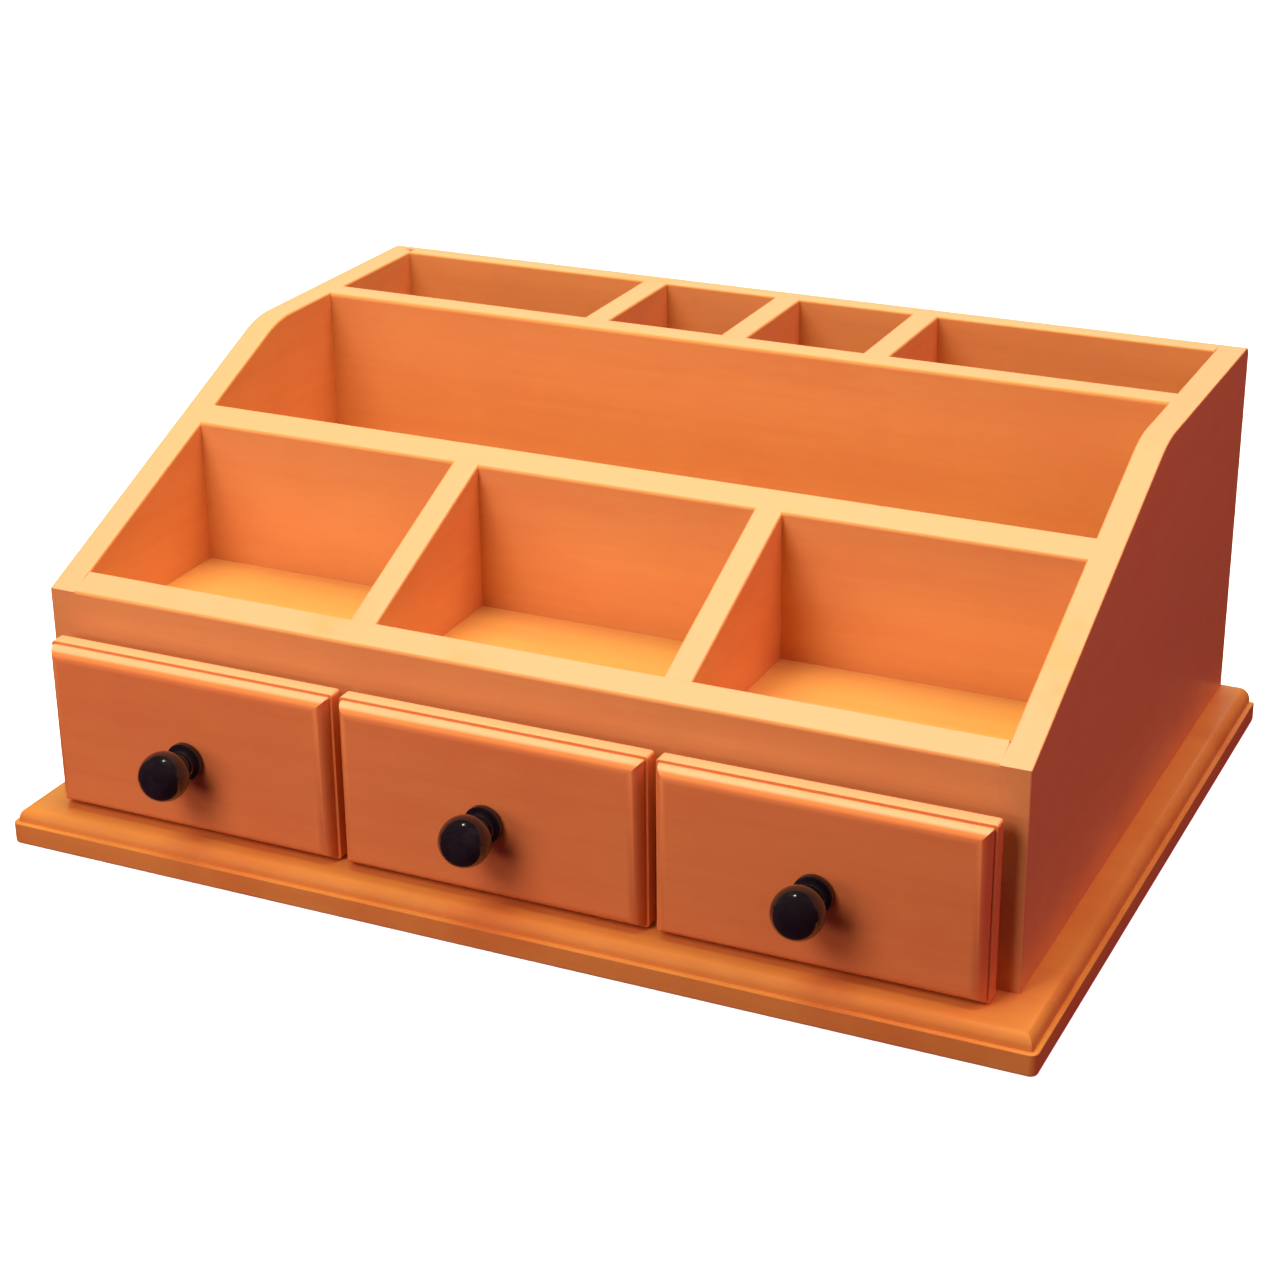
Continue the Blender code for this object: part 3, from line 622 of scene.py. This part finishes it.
class CHEST_OT_stage(bpy.types.Operator):
    """Sets up the camera, the floor, the lights and the surroundings"""
    bl_idname = "chest.stage"
    bl_label = "Set Up Studio"

    def execute(self, context):
        studio = context.scene.chest_studio
        self.add_camera(context, studio)
        floor = self.add_floor(context)
        self.add_lights(context, studio, floor)
        self.set_surroundings(context, studio)
        context.scene.view_settings.view_transform = "Standard"
        return {"FINISHED"}

    def add_camera(self, context, studio):
        camera = bpy.data.objects.new("studio_camera", bpy.data.cameras.new("studio_camera"))
        context.scene.collection.objects.link(camera)
        yaw, pitch, roll = studio.camera_turn
        turn = Matrix.Rotation(yaw, 4, "Z") @ Matrix.Rotation(math.pi / 2 + pitch, 4, "X")
        turn = turn @ Matrix.Rotation(roll, 4, "Z")
        camera.matrix_world = Matrix.Translation(studio.camera_place) @ turn
        camera.data.lens = studio.lens
        camera.data.sensor_width = SENSOR_WIDTH
        camera.data.clip_start = CLIP_START
        camera.data.clip_end = CLIP_END
        context.scene.camera = camera

    def add_floor(self, context):
        bm = bmesh.new()
        bmesh.ops.create_grid(bm, x_segments=1, y_segments=1, size=FLOOR_REACH)
        mesh = bpy.data.meshes.new("floor")
        bm.to_mesh(mesh)
        bm.free()
        floor = bpy.data.objects.new("floor", mesh)
        context.scene.collection.objects.link(floor)
        finish, tree, shader, coordinates = new_finish("pale_floor", {"Roughness": 0.9})
        specks = noise(tree, coordinates, (SPECKS,) * 3, 2.0)
        tree.links.new(mix(tree, spread(tree, specks, 0.3, 0.7, 0.0, 1.0), FLOOR_PALE, FLOOR_DARKER),
                       shader.inputs["Base Color"])
        mesh.materials.append(finish)
        floor.visible_diffuse = False
        floor.visible_glossy = False
        return floor

    def add_light(self, context, name, place, target, size, power, colour, mirrored=True):
        light = bpy.data.lights.new(name, "AREA")
        light.shape = "RECTANGLE"
        light.size, light.size_y = size
        light.energy = power
        light.color = colour
        lamp = bpy.data.objects.new(name, light)
        lamp.location = place
        lamp.rotation_euler = (Vector(target) - Vector(place)).to_track_quat("-Z", "Y").to_euler()
        lamp.visible_glossy = mirrored
        context.scene.collection.objects.link(lamp)
        return lamp

    def add_lights(self, context, studio, floor):
        for name, place, target, size, mirrored in LIGHTS:
            power, colour = getattr(studio, name + "_power"), getattr(studio, name + "_colour")
            self.add_light(context, name + "_light", place, target, size, power, colour, mirrored)
        flood = self.add_light(context, "floor_light", (0, 0, FLOOD_HEIGHT), (0, 0, 0), FLOOD_SIZE,
                               studio.floor_power, WHITE)
        only_floor = bpy.data.collections.new("floor_light_receivers")
        only_floor.objects.link(floor)
        flood.light_linking.receiver_collection = only_floor
        flood.light_linking.blocker_collection = only_floor

    def set_surroundings(self, context, studio):
        """White behind the chest, and a weak coloured fill on it."""
        world = bpy.data.worlds.new("studio_surroundings")
        world.use_nodes = True
        tree = world.node_tree
        tree.nodes.clear()
        fill = add_node(tree, "ShaderNodeBackground",
                        {"Color": (*studio.fill_colour, 1.0), "Strength": studio.fill_strength})
        white = add_node(tree, "ShaderNodeBackground", {"Color": (*WHITE, 1.0), "Strength": 1.0})
        seen = add_node(tree, "ShaderNodeLightPath")
        choice = add_node(tree, "ShaderNodeMixShader")
        output = add_node(tree, "ShaderNodeOutputWorld")
        tree.links.new(seen.outputs["Is Camera Ray"], choice.inputs["Fac"])
        tree.links.new(fill.outputs["Background"], choice.inputs[1])
        tree.links.new(white.outputs["Background"], choice.inputs[2])
        tree.links.new(choice.outputs["Shader"], output.inputs["Surface"])
        context.scene.world = world


class CHEST_OT_base_board(bpy.types.Operator):
    """Models the base board with its moulded edge"""
    bl_idname = "chest.base_board"
    bl_label = "Base Board"

    def execute(self, context):
        sizes = context.scene.chest_mouldings
        spare = 2 * sizes.base_corner
        bm = block((BASE_LOW.x, BASE_LOW.y, BASE_LOW.z + sizes.base_foot),
                   (BASE_HIGH.x, BASE_HIGH.y + spare, BASE_LOW.z + sizes.base_edge - sizes.base_foot / 2))
        round_edges(bm, lambda edge: along(edge, 2), sizes.base_corner, BASE_CORNER_STEPS)
        merge = sizes.lip_ease
        foot = quarter_round(sizes.base_foot, sizes.base_foot, FOOT_STEPS)
        mould(bm, -Z_AXIS, foot, merge)
        rise = BASE_HIGH.z - sizes.base_edge - sizes.base_quirk
        steps = quarter_round(sizes.base_foot / 2, sizes.base_foot / 2, FOOT_STEPS)
        steps += [(sizes.base_ledge - sizes.base_foot / 2, 0.0), (SNAP, sizes.base_quirk)]
        steps += quarter_round(sizes.base_round, rise, sizes.round_steps)
        mould(bm, Z_AXIS, steps, merge)
        saw(bm, (0, BASE_HIGH.y, 0), Y_AXIS)
        finish = case_finish("base", 0, context.scene.chest_finishes)
        fit_piece("base_moulded", bm, finish, "chest", "case_wood", "base_board")
        return {"FINISHED"}


class CHEST_OT_sides(bpy.types.Operator):
    """Models the two sides with their slope, soft knee and sanded edges"""
    bl_idname = "chest.sides"
    bl_label = "Sides"

    def execute(self, context):
        for name, outward in (("left_side", -1), ("right_side", 1)):
            self.build(context, name, outward)
        return {"FINISHED"}

    def build(self, context, name, outward):
        sizes = context.scene.chest_sizes
        low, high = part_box(name)
        low.z = BASE_HIGH.z
        bm = block(low, high)
        saw_slope(bm, sizes)
        knee = low.y + sizes.knee_depth
        knee_width = sizes.knee_radius * math.tan(slope_angle(sizes) / 2)
        round_edges(bm, lambda edge: at(edge, 1, knee), knee_width, KNEE_STEPS)
        round_edges(bm, lambda edge: at(edge, 1, high.y) and at(edge, 2, high.z),
                    sizes.back_radius, BACK_STEPS)
        inner, outer = (high.x, low.x) if outward < 0 else (low.x, high.x)
        first, last = FASCIA_HIGH.y - sizes.inner_arris, BACK_LOW.y + sizes.inner_arris
        score(bm, (0, first, 0), Y_AXIS)
        score(bm, (0, last, 0), Y_AXIS)
        round_edges(bm, lambda edge: at(edge, 0, inner) and first < middle(edge).y < last
                    and middle(edge).z > SHELF_HIGH.z, sizes.inner_arris, sizes.arris_steps)
        round_edges(bm, lambda edge: at(edge, 0, outer) and not at(edge, 2, low.z)
                    and not self.scored(edge, low), sizes.outer_arris, sizes.arris_steps)
        finish = case_finish("body", 1, context.scene.chest_finishes)
        fit_piece(name + "_board", bm, finish, "chest", "case_wood", name)

    def scored(self, edge, low):
        """True for an edge that runs down a side's face, away from its outline."""
        return along(edge, 2) and low.y + SNAP < middle(edge).y < SIDE_HIGH.y - SNAP


class CHEST_OT_cross_boards(bpy.types.Operator):
    """Models the fascia, the two partitions, the back panel and the shelf between the sides"""
    bl_idname = "chest.cross_boards"
    bl_label = "Cross Boards"

    def execute(self, context):
        sizes = context.scene.chest_sizes
        finish = case_finish("body", 0, context.scene.chest_finishes)
        shelf_top = SHELF_HIGH.z
        arris = sizes.inner_arris

        fascia = block((INSIDE_LEFT, FASCIA_LOW.y, FASCIA_LOW.z), (INSIDE_RIGHT, FASCIA_HIGH.y, SIDE_HIGH.z))
        saw_slope(fascia, sizes)
        self.ease_top(fascia, FASCIA_LOW.y, arris, sizes)
        self.ease_top(fascia, FASCIA_HIGH.y, arris, sizes)
        fit_piece("fascia_board", fascia, finish, "chest", "case_wood", "front_fascia")

        for name, low, high, front_round in (("middle_partition", MIDDLE_LOW, MIDDLE_HIGH, arris),
                                             ("rear_partition", REAR_LOW, REAR_HIGH, sizes.rear_round)):
            bm = block((INSIDE_LEFT - arris, low.y, shelf_top), (INSIDE_RIGHT + arris, high.y, SIDE_HIGH.z))
            if low.y < SIDE_LOW.y + sizes.knee_depth:
                saw_slope(bm, sizes)
            self.ease_top(bm, low.y, front_round, sizes)
            self.ease_top(bm, high.y, arris, sizes)
            fit_piece(name + "_board", bm, finish, "chest", "case_wood", name)

        back = block((INSIDE_LEFT, BACK_LOW.y, BASE_HIGH.z), (INSIDE_RIGHT, BACK_HIGH.y, SIDE_HIGH.z))
        round_edges(back, lambda edge: at(edge, 1, BACK_HIGH.y) and at(edge, 2, SIDE_HIGH.z),
                    sizes.back_radius, BACK_STEPS)
        self.ease_top(back, BACK_LOW.y, arris, sizes)
        fit_piece("back_board", back, finish, "chest", "case_wood", "back_panel")

        shelf = block((SHELF_LOW.x, FASCIA_HIGH.y - arris, SHELF_LOW.z),
                      (SHELF_HIGH.x, BACK_LOW.y + arris, SHELF_HIGH.z))
        round_edges(shelf, lambda edge: True, sizes.outer_arris, SHELF_STEPS)
        floor_finish = case_finish("floor", 0, context.scene.chest_finishes)
        fit_piece("shelf_board", shelf, floor_finish, "chest", "case_wood", "shelf")
        return {"FINISHED"}

    def ease_top(self, bm, y, width, sizes):
        """Sand one long top edge of a board."""
        top = max(vert.co.z for vert in bm.verts if abs(vert.co.y - y) < SNAP)
        round_edges(bm, lambda edge: at(edge, 1, y) and at(edge, 2, top), width, sizes.arris_steps)


class CHEST_OT_dividers(bpy.types.Operator):
    """Models the short dividers of the front and rear compartments"""
    bl_idname = "chest.dividers"
    bl_label = "Dividers"

    def execute(self, context):
        sizes = context.scene.chest_sizes
        arris = sizes.inner_arris
        finish = case_finish("body", 1, context.scene.chest_finishes)
        rows = (("front", (1, 2), FASCIA_HIGH.y, MIDDLE_LOW.y), ("rear", (1, 2, 3), REAR_HIGH.y, BACK_LOW.y))
        for row, numbers, front, behind in rows:
            for number in numbers:
                node = f"{row}_divider_{number}"
                low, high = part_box(node)
                bm = block((low.x, front - arris, SHELF_HIGH.z), (high.x, behind + arris, SIDE_HIGH.z))
                if row == "front":
                    saw_slope(bm, sizes)
                self.ease_sides(bm, low, high, sizes)
                fit_piece(node + "_board", bm, finish, "chest", "case_wood", node)
        return {"FINISHED"}

    def ease_sides(self, bm, low, high, sizes):
        """Sand the two long top edges of a divider."""
        for x in (low.x, high.x):
            round_edges(bm, lambda edge: at(edge, 0, x) and not along(edge, 2)
                        and middle(edge).z > SHELF_HIGH.z + SNAP, sizes.inner_arris, sizes.arris_steps)


class CHEST_OT_drawer_fronts(bpy.types.Operator):
    """Models the moulded drawer fronts"""
    bl_idname = "chest.drawer_fronts"
    bl_label = "Drawer Fronts"

    def execute(self, context):
        sizes = context.scene.chest_mouldings
        finish = case_finish("front", 0, context.scene.chest_finishes)
        for number in DRAWERS:
            node = f"drawer_{number}_front"
            low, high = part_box(node)
            lip_front = high.y - sizes.front_lip + sizes.lip_ease
            bm = block((low.x, lip_front, low.z), high)
            round_edges(bm, lambda edge: along(edge, 1), sizes.front_corner, FRONT_CORNER_STEPS)
            rise = (lip_front - sizes.lip_ease) - low.y
            steps = quarter_round(sizes.lip_ease, sizes.lip_ease, LIP_STEPS)
            steps += [(sizes.front_quirk - sizes.lip_ease, 0.0), (SNAP, sizes.lip_ease)]
            steps += quarter_round(sizes.front_round, rise - sizes.lip_ease, sizes.round_steps)
            mould(bm, -Y_AXIS, steps, sizes.lip_ease)
            fit_piece(f"drawer_{number}_moulded_front", bm, finish, f"drawer_{number}", "case_wood", node)
        return {"FINISHED"}


class CHEST_OT_knobs(bpy.types.Operator):
    """Turns the three ball knobs"""
    bl_idname = "chest.knobs"
    bl_label = "Knobs"

    def execute(self, context):
        sizes = context.scene.chest_knobs
        finish = shared("knob_gloss", knob_gloss, context.scene.chest_finishes)
        for number in DRAWERS:
            node = f"drawer_{number}_knob"
            low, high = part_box(node)
            bm = spun(self.profile(sizes), sizes.steps)
            centre = (low + high) / 2
            bmesh.ops.translate(bm, vec=(centre.x, high.y, centre.z), verts=bm.verts)
            fit_piece(f"drawer_{number}_ball_knob", bm, finish, f"drawer_{number}", "knob_black", node)
        return {"FINISHED"}

    def profile(self, sizes):
        """Flange, coved neck and ball, as (radius, depth) points from the drawer front outwards."""
        ease = sizes.cove / 2
        points = [(0.0, 0.0), (sizes.flange_radius - ease / 2, 0.0), (sizes.flange_radius, ease / 2)]
        for step in range(FLANGE_STEPS + 1):
            angle = math.pi / 2 * step / FLANGE_STEPS
            points.append((sizes.flange_radius - ease * (1 - math.cos(angle)),
                           sizes.flange_thickness - ease * (1 - math.sin(angle))))
        for step in range(COVE_STEPS + 1):
            angle = math.pi / 2 * step / COVE_STEPS
            points.append((sizes.neck_radius + sizes.cove * (1 - math.sin(angle)),
                           sizes.flange_thickness + sizes.cove * (1 - math.cos(angle))))
        start = math.asin(sizes.neck_radius / sizes.ball_radius)
        rings = sizes.steps // 2
        for ring in range(rings):
            angle = start + (math.pi - start) * ring / rings
            points.append((sizes.ball_radius * math.sin(angle),
                           sizes.reach - sizes.ball_radius * math.cos(angle)))
        points.append((0.0, sizes.reach + sizes.ball_radius))
        return points


class CHEST_OT_box_finishes(bpy.types.Operator):
    """Finishes the drawer boxes and the partitions between them"""
    bl_idname = "chest.box_finishes"
    bl_label = "Drawer Boxes"

    def execute(self, context):
        colours = context.scene.chest_finishes
        for number in DRAWERS:
            for part, axis in (("left_side", 1), ("right_side", 1), ("back", 0), ("floor", 0)):
                finish_node(f"drawer_{number}_{part}", box_finish(axis, colours))
        for number in (1, 2):
            finish_node(f"drawer_partition_{number}", case_finish("body", 1, colours))
        return {"FINISHED"}


class CHEST_OT_screws(bpy.types.Operator):
    """Finishes the screws under the base and behind the drawer fronts"""
    bl_idname = "chest.screws"
    bl_label = "Screws"

    def execute(self, context):
        finish = shared("plated_zinc", plated_zinc, context.scene.chest_finishes)
        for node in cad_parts:
            if "screw" in node:
                finish_node(node, finish)
        return {"FINISHED"}


STEPS = (CHEST_OT_stage, CHEST_OT_base_board, CHEST_OT_sides, CHEST_OT_cross_boards, CHEST_OT_dividers,
         CHEST_OT_drawer_fronts, CHEST_OT_knobs, CHEST_OT_box_finishes, CHEST_OT_screws)


class CHEST_PT_panel(bpy.types.Panel):
    """Lists the steps that dress the chest, and its sizes and colours"""
    bl_idname = "CHEST_PT_panel"
    bl_label = "Desk Chest"
    bl_space_type = "VIEW_3D"
    bl_region_type = "UI"
    bl_category = "Desk Chest"

    def draw(self, context):
        for step in STEPS:
            self.layout.operator(step.bl_idname)
        for group in GROUPS:
            box = self.layout.box()
            settings = getattr(context.scene, group)
            for name in settings.__annotations__:
                box.prop(settings, name)


GROUPS = {
    "chest_sizes": ChestSizes,
    "chest_mouldings": MouldingSizes,
    "chest_knobs": KnobSizes,
    "chest_finishes": FinishColours,
    "chest_studio": StudioSettings,
}


def register():
    for group in GROUPS.values():
        bpy.utils.register_class(group)
    for step in STEPS:
        bpy.utils.register_class(step)
    bpy.utils.register_class(CHEST_PT_panel)
    for name, group in GROUPS.items():
        setattr(bpy.types.Scene, name, PointerProperty(type=group))


def unregister():
    for name in GROUPS:
        delattr(bpy.types.Scene, name)
    bpy.utils.unregister_class(CHEST_PT_panel)
    for step in reversed(STEPS):
        bpy.utils.unregister_class(step)
    for group in reversed(GROUPS.values()):
        bpy.utils.unregister_class(group)


def main():
    register()
    for step in STEPS:
        group, action = step.bl_idname.split(".")
        getattr(getattr(bpy.ops, group), action)()


if __name__ == "__main__":
    main()
